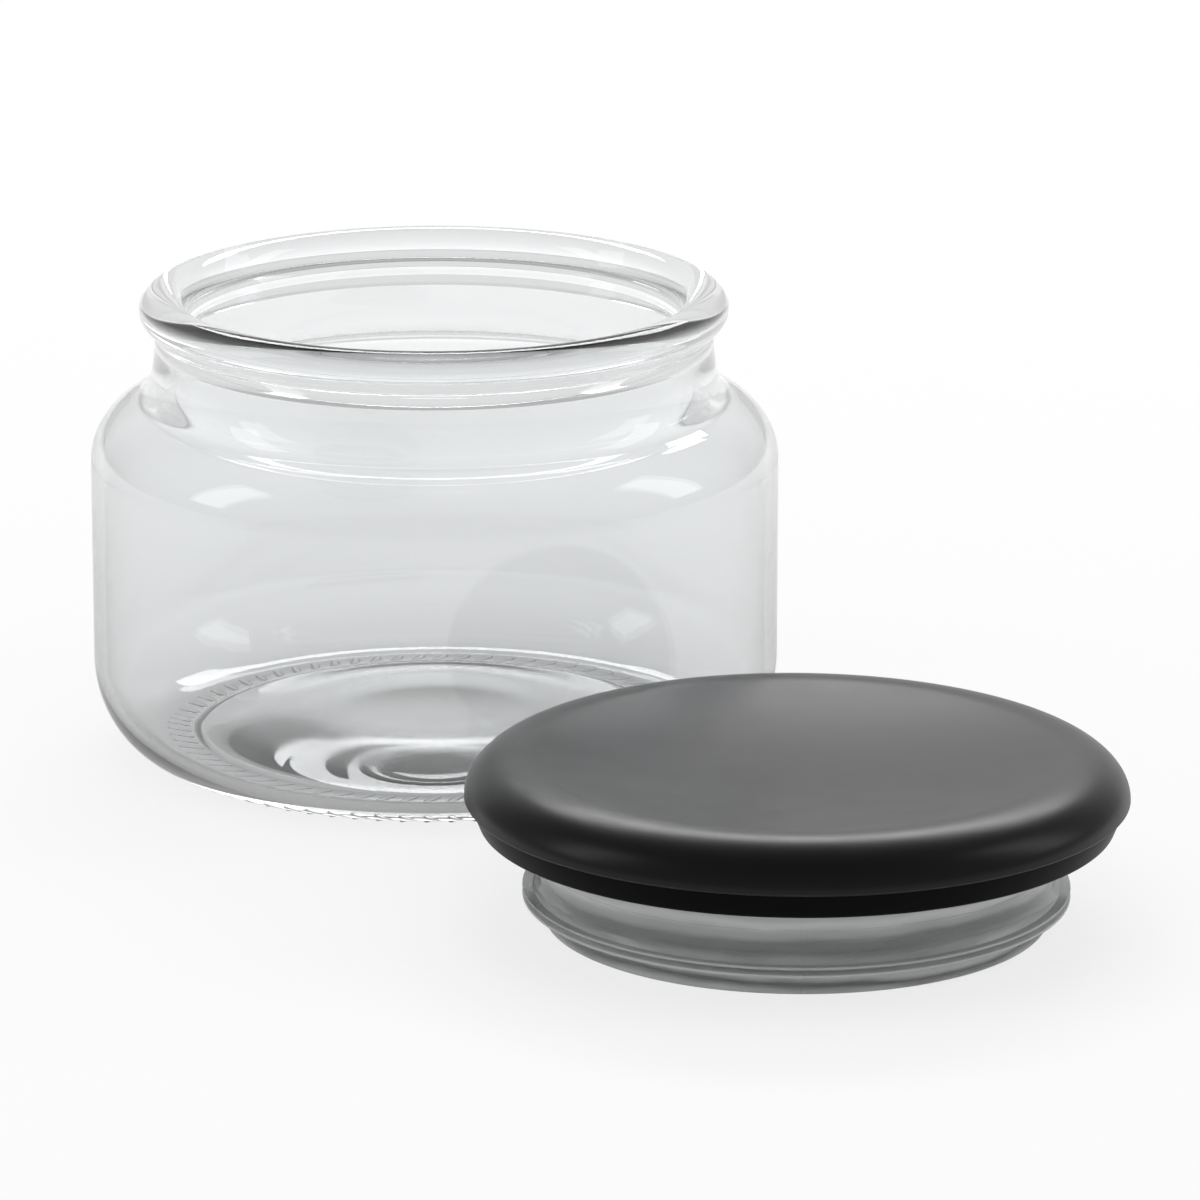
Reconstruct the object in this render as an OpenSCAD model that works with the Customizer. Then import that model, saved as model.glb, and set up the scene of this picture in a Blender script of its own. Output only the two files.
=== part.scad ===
// Wide-mouth glass jar with a dished black lid and a clear finned gasket.
// The jar stands open and its lid lies beside it on its gasket.
// Millimetres. The origin is the centre of the jar's bearing ring, on the table, with +Z up.

/* [Jar body] */
// Outside diameter of the straight body
body_d = 100; // [92:1:112]
// Height of the jar without its lid
jar_h = 68.9; // [64:0.1:100]
// Wall thickness of the straight body
wall_t = 1.8; // [1.4:0.1:2.6]
// Reach of the rounded heel, measured across
heel_w = 11.4; // [9:0.1:13]
// Height of the rounded heel
heel_h = 14.5; // [12:0.1:18]
// Thickness of the glass at its thinnest place over the bearing ring
base_t = 2.3; // [1.8:0.1:5]

/* [Jar shoulder and mouth] */
// Height from the shoulder's start to the top of the rim
neck_drop = 25.1; // [23:0.1:28]
// Reach of the rounded shoulder, measured across
shoulder_w = 12.9; // [11:0.1:14]
// Height of the rounded shoulder
shoulder_h = 10.3; // [8:0.1:11]
// Outside diameter of the neck under the rim
neck_d = 81; // [79.6:0.1:82]
// Wall thickness of the neck
neck_t = 2.5; // [1.6:0.1:2.6]
// Outside diameter of the rolled rim
rim_d = 85.4; // [84:0.1:86.4]
// Height of the rolled rim
rim_h = 5.7; // [4.8:0.1:6.4]
// Diameter of the straight bore in the mouth
bore_d = 72.2; // [71.6:0.1:72.4]
// Length of the straight bore
bore_h = 2.9; // [2:0.1:3.2]
// Depth from the rim's top to the start of the straight bore
lip_h = 3.6; // [3:0.1:4]

/* [Jar base] */
// Height that the underside rises at its centre
kick_h = 1.8; // [1:0.1:4]
// Height that the inner floor rises at its centre
dome_h = 4; // [1:0.1:5]
// Number of bars in the knurled bearing ring
bar_n = 72; // [36:1:80]
// Length of one bar, measured outwards
bar_l = 4.8; // [3:0.1:5.4]
// Width of one bar
bar_w = 1.5; // [1:0.1:1.7]
// Height that the bars stand proud of the glass
bar_h = 0.4; // [0.2:0.05:0.6]

/* [Lid] */
// Outside diameter of the lid
lid_d = 90.8; // [89.6:0.1:94]
// Height of the lid's top above the face that rests on the rim
lid_h = 9.8; // [9:0.1:11]
// Width of the rounded nose, from the ridge round the dish out to the lid's edge
nose_w = 6.8; // [6.4:0.1:9]
// Depth of the dish at its centre
dish_h = 3; // [1:0.1:3.6]
// Wall thickness of the two lid mouldings
lid_t = 1.8; // [1.4:0.1:2]
// Height of the lower moulding's band, up to the joint line
band_h = 3.6; // [3:0.1:4]
// Step from the lid's edge in to the band's bottom edge
band_in = 2.15; // [1.9:0.05:2.8]
// Step from the upper moulding's lip in to the band
lip_step = 0.7; // [0.3:0.05:0.8]

/* [Plug and gasket] */
// Depth from the face that rests on the rim to the gasket's foot
plug_h = 13.4; // [13:0.1:15]
// Thickness of the gasket's plain wall
gasket_t = 1.95; // [1.7:0.05:2.2]
// Gap between the gasket's flange and the bore
flange_gap = 0.3; // [0.2:0.05:0.5]
// Step from the flange in to the gasket's plain wall
flange_step = 0.5; // [0.3:0.05:0.6]
// Reach of the free sealing fins past the bore
fin_grip = 1.35; // [1.2:0.05:1.8]
// Thickness of a fin at its tip
fin_t = 0.4; // [0.3:0.05:0.5]
// Distance between the two fins
fin_pitch = 1.1; // [1.1:0.05:1.5]
// Step from the gasket's plain wall in to its foot
foot_step = 0.9; // [0.8:0.1:1.3]

/* [Where the lid lies] */
// Direction from the jar to the lid, in degrees from +X
lid_angle = -58; // [-180:1:180]
// Gap between the jar's body and the lid
lid_gap = 0.6; // [0.5:0.1:20]

/* [Hidden] */
$fn = 128;

// Points along each quarter of a rounded form
arc_n = 14;
blend_n = 9;

// Clearance round the plug and the clearance that the rib keeps in its groove
gasket_fit = 0.05;
rib_fit = 0.1;
// Clearance between the snap rim and the upper moulding
snap_fit = 0.15;
// Overrun of every cut
cut = 0.5;

// Jar, worked out from the sizes above
body_r = body_d / 2;
neck_r = neck_d / 2;
neck_in_r = neck_r - neck_t;
bore_r = bore_d / 2;
rim_r = rim_d / 2;
shoulder_z = jar_h - neck_drop;
// Angle at which the shoulder's arc gives way to the hollow curve into the neck
shoulder_sweep = 60;
bead_w = (rim_r - bore_r) / 2;
bead_r = rim_r - bead_w;
bead_z = jar_h - rim_h / 2;
bore_top_z = jar_h - lip_h;
bore_low_z = bore_top_z - bore_h;
// Height of the slope under the bore, out to the neck's inner wall, and its bow
throat_h = 2.15;
throat_bow_shares = [0.3, 0.6];
// Straight piece of the neck's inner wall under that slope
throat_low_h = 1;
// Height and reach of the hollow fillet where the neck meets the rolled rim
collar_h = 1.2;
collar_w = 0.6;
collar_sweep = acos((neck_r + collar_w - bead_r) / bead_w);
collar_z = bead_z - rim_h / 2 * sin(collar_sweep);

// Jar base: the bearing ring, the groove inside it and the rounded inner heel
ring_r = body_r - heel_w;
// Share of a bar's length by which the row of bars is set in from the heel's lowest circle
bar_inset_share = 0.1;
bar_mid_r = ring_r - bar_l * bar_inset_share;
kick_r = bar_mid_r - bar_l / 2;
// Step from the bearing ring up to the raised underside
kick_step_w = 1.6;
kick_step_h = 0.7;
floor_z = bar_h + base_t;
groove_r = ring_r;
inner_heel_w = heel_w - wall_t;
inner_heel_h = heel_h - floor_z;
// Radius of the flat middle of the raised floor
dome_flat_r = 14;
// Radius of a bar's own curve, the lean of its chord and its height with its root in the glass
bar_bend_r = 7;
bar_lean = 25;
bar_root_h = 1.2;

// Lid levels, above the gasket's foot
seat_z = plug_h;
joint_z = seat_z + band_h;
top_z = seat_z + lid_h;
lid_r = lid_d / 2;
ridge_r = lid_r - nose_w;
nose_h = top_z - joint_z;
// Angle past the ridge to which the nose is swept, so that it runs into the dish
ridge_sweep = atan(2 * dish_h / ridge_r * nose_w / nose_h);
band_r = lid_r - band_in;
band_top_r = lid_r - lip_step;
band_round = 0.6;
band_slope = (band_top_r - band_r) / band_h;
lip_round = 0.35;
// The upright rim on the lower moulding that the upper one snaps over
snap_sweep = 22;
snap_r = band_top_r - lid_t / 2;
snap_w = snap_r - ridge_r;
snap_rise = nose_h - lid_t - snap_fit;

// Gasket, from the bore that it seals
gasket_r = bore_r - flange_gap - flange_step;
gasket_in_r = gasket_r - gasket_t;
plug_r = gasket_in_r - gasket_fit;
foot_r = gasket_r - foot_step;
fin_r = bore_r + fin_grip;
// The upper fin's tip, closed, lies where the slope under the bore ends
fin_z = plug_h - lip_h - bore_h - throat_h;
foot_t = 0.8;
foot_w = 1.15;
foot_z = 1.8;
flange_r = gasket_r + flange_step;
flange_h = 4;
// Recess in the lower moulding that takes the flange's top, and its clearance
flange_sink = 0.4;
flange_fit = 0.1;
flare_h = 2.6;
fin_droop = 0.35;
// How far out and how low the flare meets the upper fin, and how high its bow reaches
fin_root_share = 0.35;
fin_low_share = 0.4;
flare_bow_share = 0.3;
rib_w = 0.7;
rib_z = 7;
rib_h = 3;

// The lid's axis
lid_way = body_r + lid_r + lid_gap;
lid_x = lid_way * cos(lid_angle);
lid_y = lid_way * sin(lid_angle);

// Points of an elliptic arc about [cx, cz], from angle a0 to a1
function arc(cx, cz, rx, rz, a0, a1, n = arc_n) =
    [for (i = [0:n]) let (a = a0 + (a1 - a0) * i / n) [cx + rx * cos(a), cz + rz * sin(a)]];

// Points between p and r of a quadratic curve that is drawn towards q, without its two ends
function blend(p, q, r, n = blend_n) =
    [for (i = [1:n - 1]) let (t = i / n) (1 - t) * (1 - t) * p + 2 * t * (1 - t) * q + t * t * r];

// Points of a round swell of height h on level z, from its middle, flat up to flat_r, out to radius r
function swell(r, z, h, flat_r = 0) = concat(
    flat_r > 0 ? [[0, z + h]] : [],
    [for (i = [0:arc_n]) [flat_r + (r - flat_r) * i / arc_n, z + h * (1 + cos(180 * i / arc_n)) / 2]]
);

function reversed(points) = [for (i = [len(points) - 1:-1:0]) points[i]];

// All points but the first, where the line before already ends on it
function rest(points) = [for (i = [1:len(points) - 1]) points[i]];

// Slope of the shoulder's arc where the hollow curve takes over
function shoulder_slope(w, h) = h / w / tan(shoulder_sweep);

// Shoulder of reach w and height h that ends in a neck of radius r at height z
function shoulder(outer_r, w, h, r, z) =
    let (
        bow = arc(outer_r - w, shoulder_z, w, h, 0, shoulder_sweep),
        p = bow[len(bow) - 1],
        q = [r, p[1] + (p[0] - r) * shoulder_slope(w, h)]
    )
    concat(bow, blend(p, q, [r, z]), [[r, z]]);

// Outside of the glass from the middle of the underside up to the rim's top
function jar_outline() = concat(
    swell(kick_r - kick_step_w, bar_h + kick_step_h, kick_h - kick_step_h),
    blend(
        [kick_r - kick_step_w, bar_h + kick_step_h],
        [kick_r - kick_step_w / 2, bar_h + kick_step_h],
        [kick_r, bar_h]
    ),
    [[kick_r, bar_h]],
    arc(ring_r, heel_h, heel_w, heel_h - bar_h, -90, 0),
    shoulder(body_r, shoulder_w, shoulder_h, neck_r, collar_z - collar_h),
    blend([neck_r, collar_z - collar_h], [neck_r, collar_z - collar_h / 2], [neck_r + collar_w, collar_z]),
    arc(bead_r, bead_z, bead_w, rim_h / 2, -collar_sweep, 90)
);

// Inside of the glass from the rim's top down to the middle of the floor
function jar_hollow() = concat(
    rest(arc(bead_r, bore_top_z, bead_r - bore_r, lip_h, 90, 180)),
    [[bore_r, bore_low_z]],
    blend(
        [bore_r, bore_low_z],
        [bore_r + (neck_in_r - bore_r) * throat_bow_shares[0], bore_low_z - throat_h * throat_bow_shares[1]],
        [neck_in_r, bore_low_z - throat_h]
    ),
    [[neck_in_r, bore_low_z - throat_h]],
    reversed(shoulder(
        body_r - wall_t, shoulder_w - wall_t, shoulder_h - wall_t,
        neck_in_r, bore_low_z - throat_h - throat_low_h
    )),
    arc(groove_r, floor_z + inner_heel_h, inner_heel_w, inner_heel_h, 0, -90),
    rest(reversed(swell(groove_r, floor_z, dome_h, dome_flat_r)))
);

// One curved bar of the bearing ring, standing on z = 0
module knurl_bar() {
    bar_sweep = 2 * asin(bar_l / 2 / bar_bend_r);
    translate([bar_mid_r, 0, 0])
        rotate([0, 0, -90 - bar_lean])
            translate([-bar_bend_r, 0, 0])
                rotate([0, 0, -bar_sweep / 2])
                    rotate_extrude(angle = bar_sweep)
                        translate([bar_bend_r - bar_w / 2, 0])
                            square([bar_w, bar_root_h]);
}

module knurled_ring() {
    for (i = [0:bar_n - 1])
        rotate([0, 0, 360 * i / bar_n])
            knurl_bar();
}

// Glass jar: rolled rim, straight bore, rounded shoulder and heel, raised and knurled base
module glass_jar() {
    color([0.87, 0.9, 0.91, 0.35]) {
        rotate_extrude()
            polygon(concat(jar_outline(), jar_hollow()));
        knurled_ring();
    }
}

module on_lid_axis() {
    translate([lid_x, lid_y, 0])
        children();
}

// Points of the dish on level z, from radius w in to the middle
function dish(z, w) =
    [for (i = [1:blend_n]) let (r = w * (1 - i / blend_n)) [r, z + dish_h * (pow(r / ridge_r, 2) - 1)]];

// Outline of the upper moulding from its lip to the middle of the dish
function lid_top_outline() = concat(
    [[snap_r + snap_fit, joint_z], [lid_r - lip_round, joint_z]],
    arc(ridge_r, joint_z + lip_round, nose_w, nose_h - lip_round, 0, 90 + ridge_sweep),
    dish(top_z, ridge_r - nose_w * sin(ridge_sweep))
);

// Its hollow, from the middle back out to the snap rim
function lid_top_hollow() = reversed(rest(concat(
    arc(ridge_r, joint_z, snap_w + snap_fit, nose_h - lid_t, 0, 90),
    dish(top_z - lid_t, ridge_r)
)));

// Upper moulding: the dish, its ridge and the rounded nose
module lid_top() {
    color([0.07, 0.07, 0.075])
        on_lid_axis()
            rotate_extrude()
                polygon(concat(lid_top_outline(), lid_top_hollow()));
}

// Outline of the lower moulding from the middle of the plug's floor round to its inside
function lid_base_outline() = concat(
    [[0, foot_t], [plug_r, foot_t], [plug_r, seat_z + flange_sink],
    [flange_r + flange_fit, seat_z + flange_sink], [flange_r + flange_fit, seat_z], [band_r - band_round, seat_z]],
    blend(
        [band_r - band_round, seat_z],
        [band_r, seat_z],
        [band_r + band_round * band_slope, seat_z + band_round]
    ),
    [[band_r + band_round * band_slope, seat_z + band_round], [band_top_r, joint_z]],
    arc(ridge_r, joint_z, snap_w, snap_rise, 0, snap_sweep, blend_n),
    [[snap_r - lid_t, joint_z], [snap_r - lid_t, seat_z + lid_t], [plug_r - lid_t, seat_z + lid_t],
    [plug_r - lid_t, foot_t + lid_t], [0, foot_t + lid_t]]
);

// Lower moulding: the tapered band, the face that rests on the rim and the hollow plug
module lid_base() {
    color([0.05, 0.05, 0.055])
        on_lid_axis()
            difference() {
                rotate_extrude()
                    polygon(lid_base_outline());
                // Groove that holds the gasket's inner rib
                rotate_extrude()
                    translate([plug_r - rib_w, rib_z - rib_fit])
                        square([rib_w + cut, rib_h + 2 * rib_fit]);
            }
}

// Where the flare comes down on the upper fin
fin_root = [gasket_r + (fin_r - gasket_r) * fin_root_share, fin_z - fin_droop * fin_low_share];

// A fin's outline from its root below to its tip at height z and its upper face
function fin(z, root_h) = [
    [gasket_r, z - fin_t - root_h],
    [fin_r - fin_t / 2, z - fin_t],
    [fin_r, z - fin_t / 2],
    [fin_r - fin_t / 2, z],
    [fin_root[0], z + fin_root[1] - fin_z]
];

// Outline of the gasket from its top inner edge down the inside and up the outside
function gasket_outline() = concat(
    [[gasket_in_r, seat_z + flange_sink], [gasket_in_r, rib_z + rib_h], [plug_r - rib_w + rib_fit, rib_z + rib_h],
    [plug_r - rib_w + rib_fit, rib_z], [gasket_in_r, rib_z], [gasket_in_r, foot_t],
    [plug_r - foot_w, foot_t], [plug_r - foot_w, 0], [foot_r, 0], [gasket_r - fin_droop, foot_z]],
    fin(fin_z - fin_pitch, fin_t),
    [[gasket_r, fin_z - fin_pitch + fin_t / 2]],
    fin(fin_z, fin_t / 2),
    blend(fin_root, [gasket_r, fin_z + flare_h * flare_bow_share], [gasket_r, fin_z + flare_h]),
    [[gasket_r, fin_z + flare_h], [gasket_r, seat_z - flange_h - flange_step / 2],
    [flange_r, seat_z - flange_h], [flange_r, seat_z + flange_sink]]
);

// Clear flexible gasket: top flange, plain wall, two thin fins and the foot that it stands on
module lid_gasket() {
    color([0.75, 0.78, 0.79, 0.6])
        on_lid_axis()
            rotate_extrude()
                polygon(gasket_outline());
}

glass_jar();
lid_top();
lid_base();
lid_gasket();
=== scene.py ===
"""Clear glass jar, standing open, with its black lid lying beside it on a clear gasket.

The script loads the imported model, builds a smooth turned piece for each of its nodes and dresses
the pieces in glass, satin plastic and clear rubber, then sets the floor, the lamps and the camera.
Sizes are in millimetres and turned into metres as the meshes are made.
"""

from __future__ import annotations

import logging
import math
from dataclasses import dataclass, field
from enum import Enum

import bmesh
import bpy
from mathutils import Matrix, Vector


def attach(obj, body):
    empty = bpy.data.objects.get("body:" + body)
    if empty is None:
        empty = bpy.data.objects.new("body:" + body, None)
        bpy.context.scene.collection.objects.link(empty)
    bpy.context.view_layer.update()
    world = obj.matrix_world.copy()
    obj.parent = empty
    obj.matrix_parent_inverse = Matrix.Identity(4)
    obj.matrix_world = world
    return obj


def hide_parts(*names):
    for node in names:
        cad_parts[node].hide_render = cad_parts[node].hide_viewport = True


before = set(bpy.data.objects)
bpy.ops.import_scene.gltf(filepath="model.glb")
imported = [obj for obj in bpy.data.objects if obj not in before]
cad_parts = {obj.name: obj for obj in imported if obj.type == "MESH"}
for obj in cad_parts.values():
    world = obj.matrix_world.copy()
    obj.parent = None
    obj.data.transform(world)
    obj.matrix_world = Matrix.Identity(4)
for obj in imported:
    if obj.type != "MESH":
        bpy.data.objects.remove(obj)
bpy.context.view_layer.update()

LOG = logging.getLogger("jar")
MM = 0.001
TURN = 2 * math.pi
MERGE = 1e-7

Point = tuple[float, float]
Place = tuple[float, float, float]
Sizes = tuple[float, ...]
Colour = tuple[float, float, float]
Socket = bpy.types.NodeSocket

# Steps of a quarter arc, least steps of an arc, and steps of the other round forms
ARC_STEPS = 20
LEAST_STEPS = 6
BOW_STEPS = 12
SWELL_STEPS = 24
CORNER_STEPS = 4

# Steps of the sector that is turned, and how many times it is multiplied at each stage
SECTOR_STEPS = 24
SECTORS = (2, 2, 2)


class Body(Enum):
    """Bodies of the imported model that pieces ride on."""

    JAR = "jar"
    LID = "lid"


# Half sections of turned pieces


@dataclass
class Section:
    """Half section of a turned piece: points of radius and height, in millimetres.

    Attributes:
        points: The points so far, in order.
        corners: Radius of the rounding at a point, by the point's index.
    """

    points: list[Point] = field(default_factory=list)
    corners: dict[int, float] = field(default_factory=dict)

    def to(self, radius: float, height: float, corner: float = 0.0) -> Section:
        """Draws a straight line to a point.

        Args:
            radius: The point's distance from the axis.
            height: The point's height.
            corner: Radius of the rounding there, 0 for a sharp corner.

        Returns:
            The section itself.
        """
        if not self.points or math.dist(self.points[-1], (radius, height)) > MERGE / MM:
            self.points.append((radius, height))
        if corner:
            self.corners[len(self.points) - 1] = corner
        return self

    def arc(self, centre: Point, reach: Point, start: float, end: float) -> Section:
        """Draws an elliptic arc.

        Args:
            centre: The ellipse's centre.
            reach: Its half width and half height.
            start: Angle of the arc's first point, in degrees.
            end: Angle of its last point, in degrees.

        Returns:
            The section itself.
        """
        steps = max(LEAST_STEPS, round(ARC_STEPS * abs(end - start) / 90))
        for i in range(steps + 1):
            a = math.radians(start + (end - start) * i / steps)
            self.to(centre[0] + reach[0] * math.cos(a), centre[1] + reach[1] * math.sin(a))
        return self

    def bow(self, pull: Point, end: Point) -> Section:
        """Draws a quadratic curve from the last point.

        Args:
            pull: The point that the curve is drawn towards.
            end: The curve's last point.

        Returns:
            The section itself.
        """
        start = self.points[-1]
        for i in range(1, BOW_STEPS + 1):
            t = i / BOW_STEPS
            shares = ((1 - t) ** 2, 2 * t * (1 - t), t * t)
            self.to(*(sum(s * p[k] for s, p in zip(shares, (start, pull, end))) for k in (0, 1)))
        return self

    def swell(self, end: Point) -> Section:
        """Draws a soft wave from the last point, level at both of its ends.

        Args:
            end: The wave's last point.

        Returns:
            The section itself.
        """
        start = self.points[-1]
        for i in range(1, SWELL_STEPS + 1):
            t = i / SWELL_STEPS
            rise = (1 - math.cos(math.pi * t)) / 2
            self.to(start[0] + (end[0] - start[0]) * t, start[1] + (end[1] - start[1]) * rise)
        return self

    def reversed(self) -> Section:
        """Returns the same section drawn the other way."""
        last = len(self.points) - 1
        return Section(self.points[::-1], {last - i: r for i, r in self.corners.items()})

    def join(self, other: Section) -> Section:
        """Adds another section's points after this one's.

        Args:
            other: The section to add.

        Returns:
            The section itself.
        """
        for i, point in enumerate(other.points):
            self.to(*point, other.corners.get(i, 0.0))
        return self


def rounded_wire(bm: bmesh.types.BMesh, section: Section, closed: bool) -> None:
    """Lays a section's outline in a bmesh and rounds its corners.

    Args:
        bm: The bmesh that gets the outline.
        section: The half section.
        closed: True if the outline returns to its first point.
    """
    verts = [bm.verts.new((r * MM, 0, z * MM)) for r, z in section.points]
    for a, b in zip(verts, verts[1:]):
        bm.edges.new((a, b))
    if closed:
        bm.edges.new((verts[-1], verts[0]))
    for radius in sorted(set(section.corners.values())):
        chosen = [verts[i] for i, r in section.corners.items() if r == radius]
        bmesh.ops.bevel(
            bm, geom=chosen, offset=radius * MM, offset_type="OFFSET", segments=CORNER_STEPS,
            profile=0.5, affect="VERTICES", material=-1,
        )


def repeat_round(bm: bmesh.types.BMesh, factors: tuple[int, ...]) -> None:
    """Repeats all of a bmesh round the Z axis until it fills the circle.

    Args:
        bm: The bmesh, which holds one share of the circle.
        factors: How many times it is multiplied at each stage. Their product is the whole count.
    """
    step = TURN / math.prod(factors)
    for factor in factors:
        shape = bm.verts[:] + bm.edges[:] + bm.faces[:]
        for i in range(1, factor):
            copied = bmesh.ops.duplicate(bm, geom=shape)["geom"]
            bmesh.ops.rotate(
                bm, cent=(0, 0, 0), matrix=Matrix.Rotation(step * i, 3, "Z"),
                verts=[v for v in copied if isinstance(v, bmesh.types.BMVert)],
            )
        step *= factor


def turned(section: Section, closed: bool = False) -> bmesh.types.BMesh:
    """Turns a half section round the Z axis.

    Args:
        section: The half section. An open one has its ends on the axis.
        closed: True if it is a ring that doesn't touch the axis.

    Returns:
        The turned bmesh, closed, with its faces outwards.
    """
    bm = bmesh.new()
    rounded_wire(bm, section, closed)
    bmesh.ops.spin(
        bm, geom=bm.verts[:] + bm.edges[:], cent=(0, 0, 0), axis=(0, 0, 1),
        angle=TURN / math.prod(SECTORS), steps=SECTOR_STEPS, use_merge=False,
    )
    repeat_round(bm, SECTORS)
    bmesh.ops.remove_doubles(bm, verts=bm.verts, dist=MERGE)
    bmesh.ops.recalc_face_normals(bm, faces=bm.faces)
    return bm


def shade(bm: bmesh.types.BMesh, sharp: float) -> None:
    """Shades a bmesh smooth, apart from its sharp edges.

    Args:
        bm: The bmesh.
        sharp: Least angle between two faces, in degrees, that stays an edge.
    """
    limit = math.radians(sharp)
    for face in bm.faces:
        face.smooth = True
    for edge in bm.edges:
        edge.smooth = not (edge.is_manifold and edge.calc_face_angle(0.0) > limit)


def placed(name: str, bm: bmesh.types.BMesh, sharp: float = 38.0) -> bpy.types.Object:
    """Makes an object of a bmesh and links it to the scene.

    Args:
        name: The piece's name.
        bm: Its bmesh, which is freed.
        sharp: Least angle of an edge that stays sharp, in degrees.

    Returns:
        The new object, at the origin.
    """
    shade(bm, sharp)
    mesh = bpy.data.meshes.new(name)
    bm.to_mesh(mesh)
    bm.free()
    obj = bpy.data.objects.new(name, mesh)
    bpy.context.scene.collection.objects.link(obj)
    return obj


# Materials


@dataclass(frozen=True)
class Pattern:
    """Noise in a piece's own space.

    Attributes:
        scale: Waves per metre.
        detail: Levels of finer detail.
        stretch: Scale factors across (X and Y) and along Z.
    """

    scale: float
    detail: float
    stretch: Point = (1.0, 1.0)


class Nodes:
    """A node tree under construction."""

    def __init__(self, tree: bpy.types.NodeTree) -> None:
        """Empties a tree and starts on it.

        Args:
            tree: The tree.
        """
        self.tree = tree
        self.tree.nodes.clear()

    def add(self, kind: str, **values: object) -> bpy.types.Node:
        """Adds a node.

        Args:
            kind: The node's type name.
            values: Attributes to set on it.

        Returns:
            The node.
        """
        node = self.tree.nodes.new(kind)
        for key, value in values.items():
            setattr(node, key, value)
        return node

    def link(self, source: Socket, target: Socket) -> None:
        """Links two sockets."""
        self.tree.links.new(source, target)

    def feed(self, value: Socket | float, target: Socket) -> None:
        """Gives a socket its value, from another node or fixed."""
        if isinstance(value, float):
            target.default_value = value
        else:
            self.link(value, target)

    def remapped(self, value: Socket, ends: Point, results: Point, soft: bool = False) -> Socket:
        """Maps one range to another.

        Args:
            value: The value to map.
            ends: The range that it comes from.
            results: The results at the two ends.
            soft: True for a change that starts and ends gently.

        Returns:
            The mapped value.
        """
        node = self.add("ShaderNodeMapRange", interpolation_type="SMOOTHSTEP" if soft else "LINEAR")
        for name, number in zip(("From Min", "From Max", "To Min", "To Max"), (*ends, *results)):
            node.inputs[name].default_value = number
        self.link(value, node.inputs["Value"])
        return node.outputs["Result"]

    def maths(self, operation: str, first: Socket, second: Socket | float = 0.0) -> Socket:
        """Adds a sum on one or two values.

        Args:
            operation: Name of the sum.
            first: Its first value.
            second: Its second value, from another node or fixed.

        Returns:
            The result.
        """
        node = self.add("ShaderNodeMath", operation=operation)
        self.link(first, node.inputs[0])
        self.feed(second, node.inputs[1])
        return node.outputs[0]

    def mixed(self, share: Socket, low: Socket | float, high: Socket | float) -> Socket:
        """Adds a mix of two values.

        Args:
            share: Share of the second value.
            low: The first value, from another node or fixed.
            high: The second one.

        Returns:
            The mix.
        """
        node = self.add("ShaderNodeMix")
        self.link(share, node.inputs[0])
        self.feed(low, node.inputs[2])
        self.feed(high, node.inputs[3])
        return node.outputs[0]

    def split(self, vector: Socket) -> dict[str, Socket]:
        """Returns a vector's X, Y and Z."""
        node = self.add("ShaderNodeSeparateXYZ")
        self.link(vector, node.inputs[0])
        return {axis: node.outputs[axis] for axis in "XYZ"}


class Shader(Nodes):
    """A material under construction: its tree, its Principled node and its coordinates.

    Attributes:
        band: The middle band of a noise pattern, which hardly leaves it.
    """

    band: Point = (0.3, 0.7)

    def __init__(self, name: str) -> None:
        """Starts a material.

        Args:
            name: The material's name.
        """
        self.material = bpy.data.materials.new(name)
        self.material.use_nodes = True
        super().__init__(self.material.node_tree)
        self.output = self.add("ShaderNodeOutputMaterial")
        self.body = self.add("ShaderNodeBsdfPrincipled")
        self.place = self.add("ShaderNodeTexCoord").outputs["Object"]
        self.link(self.body.outputs[0], self.output.inputs["Surface"])

    def set(self, **values: object) -> None:
        """Sets sockets of the Principled node, with _ for a space in a socket's name."""
        for key, value in values.items():
            self.body.inputs[key.replace("_", " ")].default_value = value

    def noise(self, pattern: Pattern) -> Socket:
        """Adds a noise pattern.

        Args:
            pattern: Its scale, detail and stretch.

        Returns:
            The pattern's value.
        """
        across, along = pattern.stretch
        mapping = self.add("ShaderNodeMapping")
        mapping.inputs["Scale"].default_value = (across, across, along)
        node = self.add("ShaderNodeTexNoise")
        node.inputs["Scale"].default_value = pattern.scale
        node.inputs["Detail"].default_value = pattern.detail
        self.link(self.place, mapping.inputs["Vector"])
        self.link(mapping.outputs["Vector"], node.inputs["Vector"])
        return node.outputs["Fac"]

    def ranged(self, pattern: Pattern, low: float, high: float) -> Socket:
        """Adds a noise pattern and maps its middle band to a range.

        Args:
            pattern: The pattern.
            low: Result for its dark places.
            high: Result for its light places.

        Returns:
            The mapped value.
        """
        return self.remapped(self.noise(pattern), self.band, (low, high))

    def bump(self, height: Socket, depth_mm: float, under: Socket | None = None) -> Socket:
        """Adds a bump.

        Args:
            height: The pattern that gives its height.
            depth_mm: Its full depth.
            under: The normal of a coarser bump below it.

        Returns:
            The bent normal.
        """
        node = self.add("ShaderNodeBump")
        node.inputs["Distance"].default_value = depth_mm * MM
        self.link(height, node.inputs["Height"])
        if under is not None:
            self.link(under, node.inputs["Normal"])
        return node.outputs["Normal"]


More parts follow.
